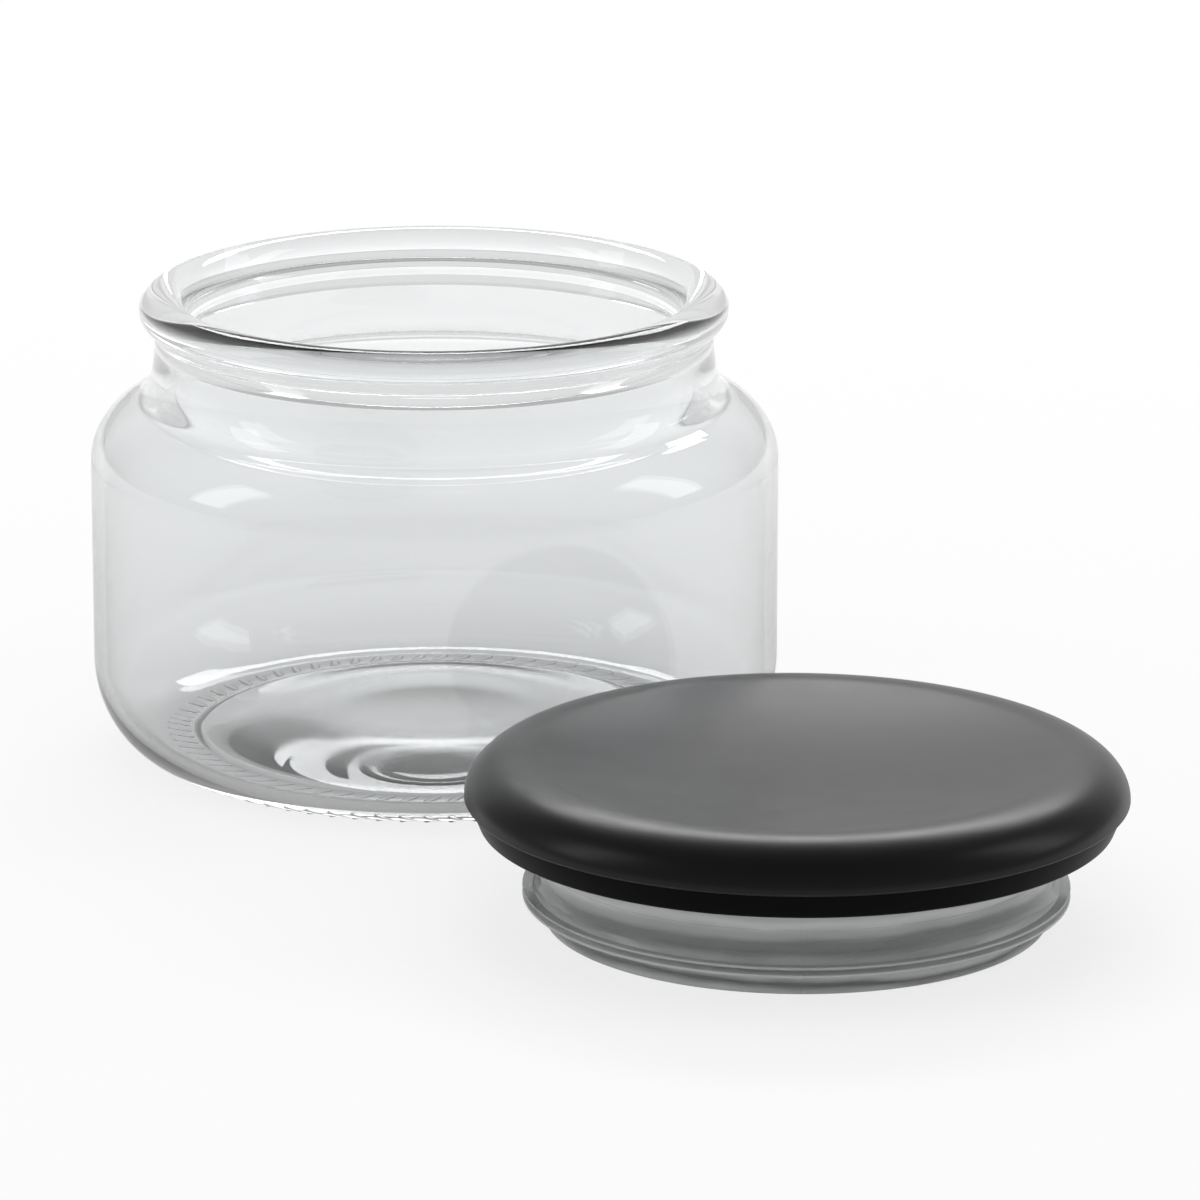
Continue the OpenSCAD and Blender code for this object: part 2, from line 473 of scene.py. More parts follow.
@dataclass(frozen=True)
class ClearGlass:
    """Fire-polished soda-lime glass with the faint waves of its moulding.

    It is a little matt in the middle of its floor.

    Attributes:
        name: The glass's name.
        tint: Its colour.
        ior: Its index of refraction.
        waves: Pattern of its waves.
        wave_mm: Their depth.
        shade_face: Light that its shadow lets through where the glass is met head on.
        shade_edge: The same where it is met edge on.
        shade_blend: Blend of the Layer Weight node between the two.
        echoes: A ray that has been mirrored more often than this leaves the glass.
        echo_shade: Share of its light that such a ray keeps at the glass's foot and at its top; painted
            shade, darkest at the foot.
        echo_heights: The two heights for these shares, in metres.
        matt: Roughness in the middle of the floor.
        matt_ends: Distances from the axis at which it starts to fade and ends, in metres.
    """

    name: str = "clear_glass"
    tint: Colour = (0.945, 0.956, 0.96)
    ior: float = 1.52
    waves: Pattern = Pattern(34.0, 1.0, (1.0, 0.45))
    wave_mm: float = 0.02
    shade_face: float = 0.92
    shade_edge: float = 0.5
    shade_blend: float = 0.35
    echoes: float = 1.5
    echo_shade: Point = (0.38, 0.92)
    echo_heights: Point = (0.012, 0.04)
    matt: float = 0.13
    matt_ends: Point = (0.026, 0.032)

    def material(self) -> bpy.types.Material:
        """Returns the glass, which lets lamps shine through and lets a ray out after its echoes."""
        s = Shader(self.name)
        s.set(Base_Color=(*self.tint, 1), Roughness=0.0, IOR=self.ior, Transmission_Weight=1.0)
        s.link(s.bump(s.noise(self.waves), self.wave_mm), s.body.inputs["Normal"])
        flat = s.add("ShaderNodeVectorMath", operation="MULTIPLY")
        flat.inputs[1].default_value = (1.0, 1.0, 0.0)
        s.link(s.place, flat.inputs[0])
        radius = s.add("ShaderNodeVectorMath", operation="LENGTH")
        s.link(flat.outputs[0], radius.inputs[0])
        matt = s.remapped(radius.outputs["Value"], self.matt_ends, (self.matt, 0.0))
        s.link(matt, s.body.inputs["Roughness"])
        facing = s.add("ShaderNodeLayerWeight")
        facing.inputs["Blend"].default_value = self.shade_blend
        shade = s.remapped(facing.outputs["Facing"], (0.0, 1.0), (self.shade_face, self.shade_edge))
        # Painted shade: a ray let out after its echoes keeps less light low down, which darkens the heel
        # and foot most.
        kept = s.remapped(s.split(s.place)["Z"], self.echo_heights, self.echo_shade)
        path = s.add("ShaderNodeLightPath").outputs
        echoed = s.maths("GREATER_THAN", path["Glossy Depth"], self.echoes)
        film = s.add("ShaderNodeBsdfTransparent")
        s.link(s.mixed(echoed, shade, kept), film.inputs["Color"])
        lit = s.maths("MAXIMUM", path["Is Shadow Ray"], path["Is Diffuse Ray"])
        mix = s.add("ShaderNodeMixShader")
        s.link(s.maths("MAXIMUM", lit, echoed), mix.inputs[0])
        s.link(s.body.outputs[0], mix.inputs[1])
        s.link(film.outputs[0], mix.inputs[2])
        s.link(mix.outputs[0], s.output.inputs["Surface"])
        return s.material


@dataclass(frozen=True)
class SatinPlastic:
    """Black moulded plastic with a fine spark texture.

    Attributes:
        name: The plastic's name.
        colour: Its colour.
        rough: Least and greatest roughness.
        cloud: Pattern by which the roughness varies.
        ior: Its index of refraction.
        grain: Pattern of its texture.
        grain_mm: Depth of its texture.
    """

    name: str
    colour: Colour = (0.0025, 0.0025, 0.0027)
    rough: Point = (0.3, 0.35)
    cloud: Pattern = Pattern(90.0, 4.0)
    ior: float = 1.42
    grain: Pattern = Pattern(3200.0, 2.0)
    grain_mm: float = 0.004

    def material(self) -> bpy.types.Material:
        """Returns the plastic."""
        s = Shader(self.name)
        s.set(Base_Color=(*self.colour, 1), IOR=self.ior)
        s.link(s.ranged(self.cloud, *self.rough), s.body.inputs["Roughness"])
        s.link(s.bump(s.noise(self.grain), self.grain_mm), s.body.inputs["Normal"])
        return s.material


@dataclass(frozen=True)
class ClearRubber:
    """Clear flexible rubber in hazy bands that partly paint light, with a fine mould seam, front and
    back.

    Attributes:
        name: The rubber's name.
        colour: Its colour where it is hazy, and its tint where it is clear.
        rough: Least and greatest roughness.
        cloud: Pattern by which the roughness varies.
        ior: Its index of refraction.
        height: Height of the gasket, in millimetres.
        haze_and_highlight: Shares of that height and how hazy it is there, from the foot up: partly the
            rubber's own haziness, partly a painted highlight.
        drift: How far the hazy bands wander up and down, as a share of that height.
        wander: Pattern by which they wander.
        waves: Pattern of its waves.
        wave_mm: Their depth.
        seam_x: Where the seam's plane cuts the X axis, in metres.
        seam_mm: The seam's half width and its depth.
    """

    name: str = "gasket_clear"
    colour: Colour = (0.95, 0.965, 0.965)
    rough: Point = (0.06, 0.14)
    cloud: Pattern = Pattern(260.0, 3.0)
    ior: float = 1.41
    height: float = 13.8
    haze_and_highlight: tuple[Point, ...] = (
        (0.0, 0.7), (0.1, 0.15), (0.18, 0.65), (0.32, 0.5), (0.42, 0.2), (0.5, 0.2),
        (0.6, 0.45), (0.72, 0.75), (0.79, 0.6), (0.88, 1.0), (1.0, 1.0),
    )
    drift: float = 0.06
    wander: Pattern = Pattern(36.0, 3.0, (1.0, 3.0))
    waves: Pattern = Pattern(60.0, 1.0)
    wave_mm: float = 0.02
    seam_x: float = 0.05087
    seam_mm: Point = (0.3, 0.06)

    def clearness(self, s: Shader) -> Socket:
        """Returns how clear the rubber is.

        Args:
            s: The material under construction.

        Returns:
            Its transmission, from 0 to 1, by the height in the gasket.
        """
        # Hazy bands render near white, so they partly paint light: they lighten the gasket in the lid's
        # shade, with a painted highlight in the band just under the lid.
        ramp = s.add("ShaderNodeValToRGB")
        ramp.color_ramp.interpolation = "EASE"
        stops = ramp.color_ramp.elements
        for place, _ in self.haze_and_highlight[1:-1]:
            stops.new(place)
        for stop, (_, haze_and_highlight) in zip(stops, self.haze_and_highlight):
            stop.color = (1 - haze_and_highlight,) * 3 + (1,)
        share = s.remapped(s.split(s.place)["Z"], (0.0, self.height * MM), (0.0, 1.0))
        wander = s.ranged(self.wander, -self.drift, self.drift)
        s.link(s.maths("ADD", share, wander), ramp.inputs["Fac"])
        return ramp.outputs["Color"]

    def material(self) -> bpy.types.Material:
        """Returns the rubber."""
        s = Shader(self.name)
        s.set(Base_Color=(*self.colour, 1), IOR=self.ior)
        s.link(s.ranged(self.cloud, *self.rough), s.body.inputs["Roughness"])
        s.link(self.clearness(s), s.body.inputs["Transmission Weight"])
        away = s.maths("ABSOLUTE", s.maths("SUBTRACT", s.split(s.place)["X"], self.seam_x))
        half_width, depth = self.seam_mm
        seam = s.remapped(away, (0.0, half_width * MM), (1.0, 0.0), soft=True)
        waves = s.bump(s.noise(self.waves), self.wave_mm)
        s.link(s.bump(seam, depth, waves), s.body.inputs["Normal"])
        return s.material


@dataclass(frozen=True)
class StudioFloor:
    """White floor, part of it plain white to the camera. To glass and mirrors it dims towards the front.

    Attributes:
        name: The paint's name.
        rough: Its roughness.
        colour: Lightness of the paint to the camera and to glass.
        bounced: Lightness by which it lights other things.
        plain: Share of plain white in what the camera sees, which softens the shadows.
        plain_glass: The same for mirrors and glass.
        dim_from: Distance behind its middle at which it starts to dim to glass, in metres.
        dim_to: Distance along the same line at which it is dimmest.
        dimmest: Share of its lightness that is left there.
    """

    name: str = "studio_floor"
    rough: float = 0.9
    colour: float = 0.98
    bounced: float = 0.92
    plain: float = 0.75
    plain_glass: float = 0.1
    dim_from: float = 0.4
    dim_to: float = -0.5
    dimmest: float = 0.6

    def material(self) -> bpy.types.Material:
        """Returns the floor's paint."""
        s = Shader(self.name)
        s.set(Roughness=self.rough, Specular_IOR_Level=0.0, Emission_Color=(1.0, 1.0, 1.0, 1.0))
        path = s.add("ShaderNodeLightPath").outputs
        mirrored = s.maths("MAXIMUM", path["Is Glossy Ray"], path["Is Transmission Ray"])
        fade = s.remapped(
            s.split(s.place)["Y"], (self.dim_to, self.dim_from), (self.dimmest, 1.0), soft=True,
        )

        def blended(others: float, glass: float, camera: float) -> Socket:
            """Returns a value for the camera, one that fades for glass, and one for the rest."""
            unseen = s.mixed(mirrored, others, s.maths("MULTIPLY", fade, glass))
            return s.mixed(path["Is Camera Ray"], unseen, camera)

        paint = blended(
            self.bounced, self.colour * (1 - self.plain_glass), self.colour * (1 - self.plain),
        )
        s.link(paint, s.body.inputs["Base Color"])
        s.link(blended(0.0, self.plain_glass, self.plain), s.body.inputs["Emission Strength"])
        return s.material


def dressed(obj: bpy.types.Object, material: bpy.types.Material, body: Body, node: str) -> None:
    """Gives a piece its material, its body and the node that it stands for.

    Args:
        obj: The piece.
        material: Its material.
        body: The body that it rides on.
        node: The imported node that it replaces.
    """
    obj.data.materials.append(material)
    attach(obj, body.value)
    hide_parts(node)
    LOG.info("%s: %d faces, stands for %s", obj.name, len(obj.data.polygons), node)


# The jar


@dataclass
class GlassJar:
    """Jar with a rolled rim, a rounded shoulder and heel, and a knurled bearing ring.

    Its sizes are in millimetres and its angles in degrees.

    Attributes:
        body_r: Radius of the straight wall.
        height: Height of the jar.
        wall: Thickness of the wall.
        heel: Reach and height of the heel's arc.
        base: Thickness of the floor over the bearing ring.
        neck_drop: Height of the top over the foot of the shoulder.
        shoulder: Reach and height of the shoulder's arc.
        shoulder_sweep: Angle at which the arc turns into the curve to the neck.
        neck_r: Outer radius of the neck.
        neck_wall: Thickness of the neck.
        rim_r: Outer radius of the rim.
        rim_h: Height of the rim.
        bore_r: Radius of the mouth's straight bore.
        bore_h: Height of the bore.
        bore_corner: Rounding of its lower edge.
        lip_h: Height of the rounded lip over the bore.
        throat_h: Height of the curve from the bore out to the neck.
        throat_pull: Place of the point that bends it, as shares of its width and height.
        neck_low: Height of the neck's straight inner stretch.
        collar: Width and height of the curve from the neck out to the rim's underside.
        kick_h: Rise of the hollow underside at its middle.
        kick_step: Width and height of the step at the hollow's edge.
        dome_h: Rise of the floor at its middle.
        dome_flat_r: Radius of the level middle.
        bar_factors: Counts whose product is the number of bars.
        bar: Length, width and half height of a bar.
        bar_faces: Faces round a bar and from its top to its bottom.
        bar_inset_share: Share of a bar's length by which its middle lies inside the heel's foot.
        bar_bend_r: Radius of a bar's bend.
        bar_lean: Angle between a bar and the line from the axis to its middle.
    """

    body_r: float = 50.0
    height: float = 68.9
    wall: float = 1.8
    heel: Point = (11.4, 14.5)
    base: float = 2.3
    neck_drop: float = 25.1
    shoulder: Point = (12.9, 10.3)
    shoulder_sweep: float = 60.0
    neck_r: float = 40.5
    neck_wall: float = 2.5
    rim_r: float = 42.7
    rim_h: float = 5.7
    bore_r: float = 36.1
    bore_h: float = 2.9
    bore_corner: float = 0.25
    lip_h: float = 3.6
    throat_h: float = 2.15
    throat_pull: Point = (0.3, 0.6)
    neck_low: float = 1.0
    collar: Point = (0.6, 1.2)
    kick_h: float = 1.8
    kick_step: Point = (1.6, 0.7)
    dome_h: float = 4.0
    dome_flat_r: float = 14.0
    bar_factors: tuple[int, ...] = (2, 2, 2, 3, 3)
    bar: Sizes = (4.8, 1.5, 0.4)
    bar_faces: tuple[int, int] = (14, 8)
    bar_inset_share: float = 0.1
    bar_bend_r: float = 7.0
    bar_lean: float = 25.0

    @property
    def ring_r(self) -> float:
        """Radius at which the heel meets the underside."""
        return self.body_r - self.heel[0]

    @property
    def bar_mid_r(self) -> float:
        """Radius of the middles of the bars."""
        return self.ring_r - self.bar[0] * self.bar_inset_share

    def side(self, radius: float, shoulder: Point, neck_r: float, neck_z: float) -> Section:
        """Draws the shoulder from the top of the straight wall up into the neck.

        Args:
            radius: Radius of the straight wall.
            shoulder: Reach and height of the shoulder's arc.
            neck_r: Radius of the neck.
            neck_z: Height at which the curve reaches the neck.

        Returns:
            The section.
        """
        low = self.height - self.neck_drop
        s = Section().arc((radius - shoulder[0], low), shoulder, 0, self.shoulder_sweep)
        r, z = s.points[-1]
        slope = shoulder[1] / shoulder[0] / math.tan(math.radians(self.shoulder_sweep))
        return s.bow((neck_r, z + (r - neck_r) * slope), (neck_r, neck_z))

    def section(self) -> Section:
        """Returns the half section, from the middle underneath round to the middle of the floor."""
        lift = self.bar[2]
        bead_w = (self.rim_r - self.bore_r) / 2
        bead_r, bead_z = self.rim_r - bead_w, self.height - self.rim_h / 2
        sweep = math.degrees(math.acos((self.neck_r + self.collar[0] - bead_r) / bead_w))
        collar_z = bead_z - self.rim_h / 2 * math.sin(math.radians(sweep))
        kick_r = self.bar_mid_r - self.bar[0] / 2
        step_w, step_h = self.kick_step
        s = Section().to(0, lift + self.kick_h).swell((kick_r - step_w, lift + step_h))
        s.bow((kick_r - step_w / 2, lift + step_h), (kick_r, lift))
        s.arc((self.ring_r, self.heel[1]), (self.heel[0], self.heel[1] - lift), -90, 0)
        s.join(self.side(self.body_r, self.shoulder, self.neck_r, collar_z - self.collar[1]))
        s.bow((self.neck_r, collar_z - self.collar[1] / 2), (self.neck_r + self.collar[0], collar_z))
        s.arc((bead_r, bead_z), (bead_w, self.rim_h / 2), -sweep, 90)
        bore_top = self.height - self.lip_h
        bore_low = bore_top - self.bore_h
        inner_r = self.neck_r - self.neck_wall
        throat = bore_low - self.throat_h
        s.arc((bead_r, bore_top), (bead_r - self.bore_r, self.lip_h), 90, 180)
        s.to(self.bore_r, bore_low, self.bore_corner)
        out, down = self.throat_pull
        pull = (self.bore_r + (inner_r - self.bore_r) * out, bore_low - self.throat_h * down)
        s.bow(pull, (inner_r, throat))
        slim = (self.shoulder[0] - self.wall, self.shoulder[1] - self.wall)
        s.join(self.side(self.body_r - self.wall, slim, inner_r, throat - self.neck_low).reversed())
        floor_z = lift + self.base
        s.arc((self.ring_r, self.heel[1]), (self.heel[0] - self.wall, self.heel[1] - floor_z), 0, -90)
        return s.swell((self.dome_flat_r, floor_z + self.dome_h)).to(0, floor_z + self.dome_h)

    def bar_ring(self) -> bmesh.types.BMesh:
        """Returns the ring of curved bars, each a flattened lens bent along its length."""
        length, width, lift = (v * MM for v in self.bar)
        bend = self.bar_bend_r * MM
        round_bar, up_bar = self.bar_faces
        ring = bmesh.new()
        bmesh.ops.create_uvsphere(ring, u_segments=round_bar, v_segments=up_bar, radius=1.0)
        bmesh.ops.scale(ring, vec=(width / 2, length / 2, lift), verts=ring.verts)
        bmesh.ops.translate(ring, vec=(bend, 0, lift), verts=ring.verts)
        for v in ring.verts:
            v.co = Matrix.Rotation(v.co.y / bend, 3, "Z") @ Vector((v.co.x, 0, v.co.z))
        turn = (
            Matrix.Translation((self.bar_mid_r * MM, 0, 0))
            @ Matrix.Rotation(-math.radians(90 + self.bar_lean), 4, "Z")
            @ Matrix.Translation((-bend, 0, 0))
        )
        bmesh.ops.transform(ring, matrix=turn, verts=ring.verts)
        repeat_round(ring, self.bar_factors)
        bmesh.ops.recalc_face_normals(ring, faces=ring.faces)
        return ring

    def build(self) -> None:
        """Builds the jar, joins its bars to it and dresses it."""
        rough = placed("jar_turned", turned(self.section()))
        bars = placed("jar_bars", self.bar_ring())
        union = rough.modifiers.new("knurl", "BOOLEAN")
        union.operation, union.solver, union.object = "UNION", "MANIFOLD", bars
        graph = bpy.context.evaluated_depsgraph_get()
        bm = bmesh.new()
        bm.from_object(rough, graph)
        for spare in (rough, bars):
            bpy.data.objects.remove(spare)
        bmesh.ops.remove_doubles(bm, verts=bm.verts, dist=MERGE)
        dressed(placed("jar_glass", bm), ClearGlass().material(), Body.JAR, "glass_jar")


# The lid


@dataclass
class PushInLid:
    """Lid of two black mouldings and a clear gasket, lying beside the jar on the gasket's foot.

    Its sizes are in millimetres and its angles in degrees. The roundings of a group stand in the
    order in which the outline passes them.

    Attributes:
        jar: The jar that the lid fits.
        edge_r: Radius of the lid.
        height: Height of the two mouldings over the seat, the face that rests on the jar's rim.
        nose_w: Distance from the ridge round the dish to the lid's edge.
        dish_h: Depth of the dish.
        wall: Thickness of the mouldings.
        band_h: Height of the tapered band.
        band_in: Distance of the band's lower edge from the lid's edge.
        band_corners: Roundings of its lower and upper edge.
        lip_step: Distance of the band's upper edge from the lid's edge.
        lip_round: Rounding of the upper moulding's lower edge.
        lip_corner: Rounding where that edge meets the joint's flat face.
        plug_h: Height of the seat over the ground.
        plug_corner: Rounding of the plug's foot.
        flange_gap: Gap between the gasket's flange and the jar's bore.
        flange: Width of the flange beyond the plain wall, and its height under the seat.
        flange_sink: Depth of the recess that takes the flange.
        flange_fit: Gap round the flange in its recess.
        flange_corners: Roundings of the gasket's inner top edge, and of the flange's root and edges.
        gasket_wall: Thickness of the gasket.
        gasket_fit: Gap between the gasket and the plug.
        fin_grip: Distance by which the free fins reach beyond the jar's bore.
        fin_t: Thickness of a fin at its tip.
        fin_pitch: Distance between the two fins.
        fin_dip: Share of a fin's width at which its upper face dips, and the depth there.
        fin_corners: Roundings under a fin, at its tip and over it.
        flare_h: Height of the curve from the upper fin to the plain wall.
        flare_pull: Height of the point that bends it, as a share of that height.
        foot: Distance of its outer edge from the plain wall, thickness and reach under the plug.
        foot_corners: Roundings of the foot's upper, lower and outer edges and of the knee.
        knee: Distance of the knee over the foot from the plain wall, and its height.
        rib: Width of the rib inside the gasket, height of its lower edge, and its own height.
        rib_fit: Gap round the rib in its groove.
        rib_corner: Rounding of the rib's edges.
        snap_sweep: Angle of the snap rim's arc.
        snap_fit: Gap between the snap rim and the upper moulding.
        towards: Direction from the jar's axis to the lid's, from the X axis.
        gap: Gap between the jar and the lid.
    """

    jar: GlassJar
    edge_r: float = 45.4
    height: float = 9.8
    nose_w: float = 8.4
    dish_h: float = 3.0
    wall: float = 1.8
    band_h: float = 3.6
    band_in: float = 2.15
    band_corners: Point = (0.5, 0.08)
    lip_step: float = 0.7
    lip_round: float = 0.35
    lip_corner: float = 0.1
    plug_h: float = 13.4
    plug_corner: float = 0.3
    flange_gap: float = 0.3
    flange: Point = (0.5, 4.0)
    flange_sink: float = 0.4
    flange_fit: float = 0.1
    flange_corners: Sizes = (0.1, 0.2, 0.15)
    gasket_wall: float = 1.95
    gasket_fit: float = 0.05
    fin_grip: float = 1.35
    fin_t: float = 0.4
    fin_pitch: float = 1.1
    fin_dip: Point = (0.35, 0.14)
    fin_corners: Sizes = (0.12, 0.14, 0.1)
    flare_h: float = 2.6
    flare_pull: float = 0.3
    foot: Sizes = (0.9, 0.8, 1.15)
    foot_corners: Sizes = (0.1, 0.15, 0.25, 0.2)
    knee: Point = (0.35, 1.8)
    rib: Sizes = (0.7, 7.0, 3.0)
    rib_fit: float = 0.1
    rib_corner: float = 0.1
    snap_sweep: float = 22.0
    snap_fit: float = 0.15
    towards: float = -58.0
    gap: float = 0.6

    def axis(self) -> Vector:
        """Returns the foot of the lid's axis, in metres."""
        way = (self.jar.body_r + self.edge_r + self.gap) * MM
        a = math.radians(self.towards)
        return Vector((way * math.cos(a), way * math.sin(a), 0))

    @property
    def ridge_r(self) -> float:
        """Radius of the ridge round the dish."""
        return self.edge_r - self.nose_w

    @property
    def joint_z(self) -> float:
        """Height of the joint line."""
        return self.plug_h + self.band_h

    @property
    def wall_r(self) -> float:
        """Radius of the gasket's plain wall."""
        return self.jar.bore_r - self.flange_gap - self.flange[0]

    @property
    def plug_r(self) -> float:
        """Radius of the plug inside the gasket."""
        return self.wall_r - self.gasket_wall - self.gasket_fit

    @property
    def snap_r(self) -> float:
        """Outer radius of the snap rim at the joint line."""
        return self.edge_r - self.lip_step - self.wall / 2

    def dish(self, start: Point) -> Section:
        """Draws the dish from its outer edge in to the axis.

        Args:
            start: The point at which it starts.

        Returns:
            The section.
        """
        s = Section()
        for i in range(SWELL_STEPS + 1):
            r = start[0] * (1 - i / SWELL_STEPS)
            s.to(r, start[1] - self.dish_h * (start[0] ** 2 - r**2) / self.ridge_r**2)
        return s

    def upper_section(self) -> Section:
        """Returns the upper moulding's half section."""
        top = self.plug_h + self.height
        nose_h = top - self.joint_z
        sweep = math.degrees(math.atan(2 * self.dish_h / self.ridge_r * self.nose_w / nose_h))
        low = self.joint_z
        s = self.dish((self.ridge_r, top - self.wall)).reversed()
        hollow = (self.snap_r - self.ridge_r + self.snap_fit, nose_h - self.wall)
        s.arc((self.ridge_r, low), hollow, 90, 0)
        s.to(self.edge_r - self.lip_round, low, self.lip_corner)
        nose = (self.nose_w, nose_h - self.lip_round)
        s.arc((self.ridge_r, low + self.lip_round), nose, 0, 90 + sweep)
        return s.join(self.dish(s.points[-1]))

    def lower_section(self) -> Section:
        """Returns the lower moulding's half section."""
        plug, seat, foot = self.plug_r, self.plug_h, self.foot[1]
        rib_w, rib_z, rib_h = self.rib
        band_r, band_top = self.edge_r - self.band_in, self.edge_r - self.lip_step
        snap = self.snap_r
        rise = self.height - self.band_h - self.wall - self.snap_fit
        s = Section().to(0, foot).to(plug, foot, self.plug_corner)
        s.to(plug, rib_z - self.rib_fit).to(plug - rib_w, rib_z - self.rib_fit)
        s.to(plug - rib_w, rib_z + rib_h + self.rib_fit).to(plug, rib_z + rib_h + self.rib_fit)
        lip = self.wall_r + self.flange[0] + self.flange_fit
        s.to(plug, seat + self.flange_sink).to(lip, seat + self.flange_sink).to(lip, seat)
        lower, upper = self.band_corners
        s.to(band_r, seat, lower).to(band_top, self.joint_z, upper).to(snap, self.joint_z)
        s.arc((self.ridge_r, self.joint_z), (snap - self.ridge_r, rise), 0, self.snap_sweep)
        s.to(snap - self.wall, self.joint_z).to(snap - self.wall, seat + self.wall)
        s.to(plug - self.wall, seat + self.wall).to(plug - self.wall, foot + self.wall)
        return s.to(0, foot + self.wall)

    def gasket_section(self) -> Section:
        """Returns the gasket's half section, a closed ring."""
        wall, seat, plug = self.wall_r, self.plug_h, self.plug_r
        inner, top = self.wall_r - self.gasket_wall, seat + self.flange_sink
        inner_edge, flange_root, flange_edge = self.flange_corners
        s = Section().to(inner, top, inner_edge)
        rib_w, rib_z, rib_h = self.rib
        rib_r = plug - rib_w + self.rib_fit
        s.to(inner, rib_z + rib_h).to(rib_r, rib_z + rib_h, self.rib_corner)
        s.to(rib_r, rib_z, self.rib_corner).to(inner, rib_z)
        foot_in, foot_t, foot_w = self.foot
        upper, lower, outer, bend = self.foot_corners
        knee_in, knee_z = self.knee
        s.to(inner, foot_t).to(plug - foot_w, foot_t, upper).to(plug - foot_w, 0, lower)
        s.to(wall - foot_in, 0, outer).to(wall - knee_in, knee_z, bend)
        fin_r = self.jar.bore_r + self.fin_grip
        fin_z = seat - self.jar.lip_h - self.jar.bore_h - self.jar.throat_h
        share, dip = self.fin_dip
        under, tip_edge, over = self.fin_corners
        for tip, root in ((fin_z - self.fin_pitch, self.fin_t), (fin_z, self.fin_t / 2)):
            s.to(wall, tip - self.fin_t - root, under)
            s.to(fin_r, tip - self.fin_t, tip_edge).to(fin_r, tip, tip_edge)
            s.to(wall + (fin_r - wall) * share, tip - dip)
            if tip < fin_z:
                s.to(wall, tip + self.fin_t / 2, over)
        s.bow((wall, fin_z + self.flare_h * self.flare_pull), (wall, fin_z + self.flare_h))
        flange_w, flange_h = self.flange
        s.to(wall, seat - flange_h - flange_w / 2, flange_root)
        s.to(wall + flange_w, seat - flange_h, flange_edge)
        return s.to(wall + flange_w, top, flange_edge)

    def build(self) -> None:
        """Builds the two mouldings and the gasket, in place beside the jar."""
        # The lower moulding is the same black plastic with a lower index of refraction, so it reflects
        # less: a shaded copy, painted shade for the band that faces down into the lid's shade.
        black, black_shaded_base = SatinPlastic("lid_black"), SatinPlastic("lid_black_base", ior=1.15)
        pieces = (
            ("lid_upper", self.upper_section(), False, black, "lid_top"),
            ("lid_lower", self.lower_section(), False, black_shaded_base, "lid_base"),
            ("lid_seal", self.gasket_section(), True, ClearRubber(), "lid_gasket"),
        )
        for name, section, closed, finish, node in pieces:
            bm = turned(section, closed)
            bmesh.ops.translate(bm, vec=self.axis(), verts=bm.verts)
            dressed(placed(name, bm), finish.material(), Body.LID, node)


# The studio


@dataclass(frozen=True)
class SoftBox:
    """One soft lamp.

    Attributes:
        name: The lamp's name.
        place: Where it stands, in metres.
        size: Its width and height, in metres.
        level: Brightness of its face, where 1 is white.
        mirrored: True if shiny surfaces and glass show it.
        aim: The point that its face is turned to, in metres.
    """

    name: str
    place: Place
    size: Point
    level: float
    mirrored: bool = True
    aim: Place = (0.02, -0.03, 0.03)

    def build(self) -> None:
        """Hangs the lamp, turned towards the object."""
        data = bpy.data.lights.new(self.name, "AREA")
        data.shape = "RECTANGLE"
        data.size, data.size_y = self.size
        data.energy = self.level * math.pi * self.size[0] * self.size[1]
        lamp = bpy.data.objects.new(self.name, data)
        lamp.location = self.place
        back = Vector(self.place) - Vector(self.aim)
        lamp.rotation_mode = "QUATERNION"
        lamp.rotation_quaternion = back.to_track_quat("Z", "Y")
        lamp.visible_glossy = lamp.visible_transmission = self.mirrored
        bpy.context.scene.collection.objects.link(lamp)


@dataclass(frozen=True)
class Surroundings:
    """The world as mirrors or glass show it: full behind, dimmer in front and overhead.

    Attributes:
        fade: Shares of the Y direction between which it rises from the front's level to full.
        front: Its level in front.
        overhead: Its level overhead.
    """

    fade: Point
    front: float
    overhead: float


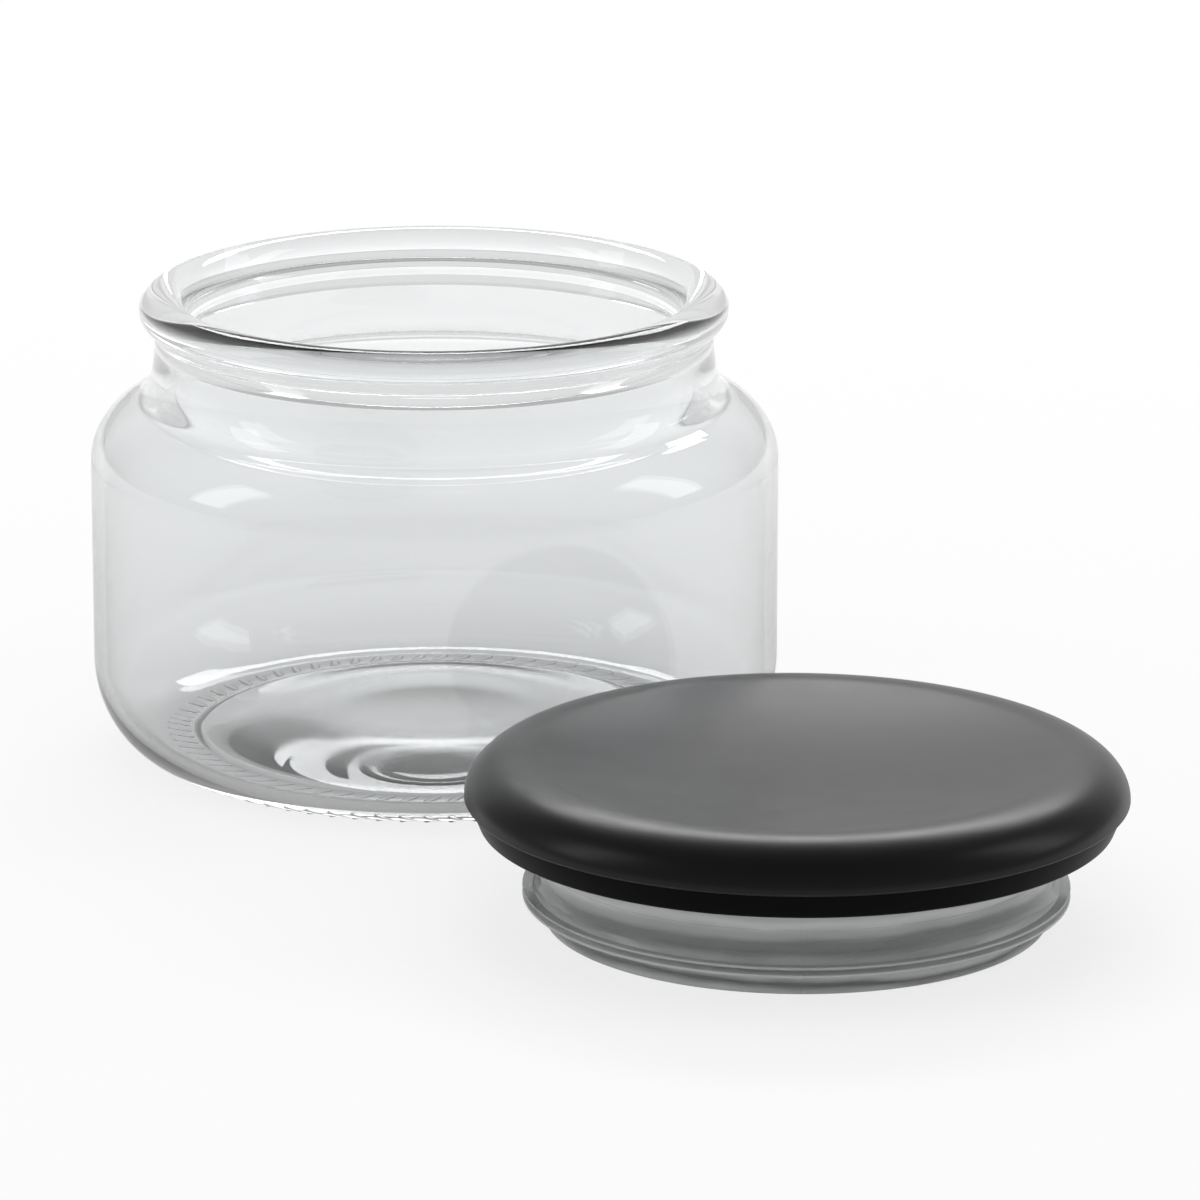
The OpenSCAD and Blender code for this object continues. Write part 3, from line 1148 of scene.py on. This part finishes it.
@dataclass
class Studio:
    """Floor, background, lamps and camera.

    Attributes:
        floor_size: Length of the floor's sides, in metres.
        ambient: Level of the world for what is neither shiny nor clear.
        mirrored: The world in mirrors.
        refracted: The world through glass.
        climb_ends: Shares of the Z direction between which the level overhead sets in.
        lens: Focal length of the camera, in millimetres.
        sensor: Width of its sensor, in millimetres.
        clip: Least and greatest distance that it sees, in metres.
        eye: Where it stands, in metres.
        pitch: Angle by which it looks down, in radians.
        yaw: Angle by which it looks aside, in radians.
        roll: Angle by which it leans, in radians.
        lamps: The lamps.
    """

    floor_size: float = 8.0
    ambient: float = 0.7
    mirrored: Surroundings = Surroundings((0.6, 0.97), 0.3, 0.7)
    refracted: Surroundings = Surroundings((-0.35, 0.35), 0.65, 0.75)
    climb_ends: Point = (0.35, 0.85)
    lens: float = 228.43
    sensor: float = 36.0
    clip: Point = (0.01, 50.0)
    eye: Place = (0.02341, -1.0734, 0.32251)
    pitch: float = 0.2731
    yaw: float = 0.0006
    roll: float = 0.00105
    lamps: tuple[SoftBox, ...] = (
        SoftBox("back_softbox", (0.1, 1.3, 1.1), (1.3, 0.35), 7.0),
        SoftBox("top_softbox", (0.0, -0.1, 1.5), (1.6, 1.6), 0.4, mirrored=False),
        SoftBox("left_softbox", (-1.2, -0.2, 0.75), (0.35, 0.9), 1.6),
        SoftBox("right_softbox", (1.2, 0.1, 0.75), (0.35, 0.9), 1.6),
    )

    def floor(self) -> None:
        """Lays the floor."""
        bm = bmesh.new()
        bmesh.ops.create_grid(bm, x_segments=1, y_segments=1, size=self.floor_size / 2)
        obj = placed("floor", bm)
        obj.data.materials.append(StudioFloor().material())

    def background(self) -> None:
        """Sets the world: white for the camera, and dimmer for glass, mirrors and plain surfaces.

        A ray that leaves the glass after its echoes sees the world as one that came through it.
        """
        world = bpy.data.worlds.new("studio")
        bpy.context.scene.world = world
        world.use_nodes = True
        nodes = Nodes(world.node_tree)
        way = nodes.split(nodes.add("ShaderNodeTexCoord").outputs["Generated"])
        path = nodes.add("ShaderNodeLightPath").outputs
        mirror, glass = (
            nodes.maths(
                "MULTIPLY",
                nodes.remapped(way["Z"], self.climb_ends, (1.0, seen.overhead), soft=True),
                nodes.remapped(way["Y"], seen.fade, (seen.front, 1.0), soft=True),
            )
            for seen in (self.mirrored, self.refracted)
        )
        echoed = nodes.maths("GREATER_THAN", path["Glossy Depth"], ClearGlass.echoes)
        through = nodes.maths("MAXIMUM", path["Is Transmission Ray"], echoed)
        level = nodes.mixed(path["Is Glossy Ray"], self.ambient, mirror)
        level = nodes.mixed(through, level, glass)
        glow = nodes.add("ShaderNodeBackground")
        strength = nodes.maths("MAXIMUM", level, path["Is Camera Ray"])
        nodes.link(strength, glow.inputs["Strength"])
        nodes.link(glow.outputs[0], nodes.add("ShaderNodeOutputWorld").inputs["Surface"])

    def camera(self) -> None:
        """Sets the camera at the photograph's place, angle and lens."""
        ahead = Vector((
            math.sin(self.yaw) * math.cos(self.pitch),
            math.cos(self.yaw) * math.cos(self.pitch),
            -math.sin(self.pitch),
        ))
        right = Vector((math.cos(self.yaw), -math.sin(self.yaw), 0))
        up = right.cross(ahead)
        c, s = math.cos(self.roll), math.sin(self.roll)
        right, up = right * c + up * s, up * c - right * s
        data = bpy.data.cameras.new("camera")
        data.lens, data.sensor_width = self.lens, self.sensor
        data.clip_start, data.clip_end = self.clip
        eye = bpy.data.objects.new("camera", data)
        eye.matrix_world = Matrix((right, up, -ahead)).transposed().to_4x4()
        eye.location = self.eye
        bpy.context.scene.collection.objects.link(eye)
        bpy.context.scene.camera = eye

    def build(self) -> None:
        """Builds the whole studio."""
        bpy.context.scene.view_settings.view_transform = "Standard"
        self.floor()
        self.background()
        self.camera()
        for lamp in self.lamps:
            lamp.build()


def main() -> None:
    """Builds the studio, the jar and its lid."""
    logging.basicConfig(level=logging.INFO, format="%(name)s: %(message)s")
    Studio().build()
    jar = GlassJar()
    jar.build()
    PushInLid(jar).build()


if __name__ == "__main__":
    main()
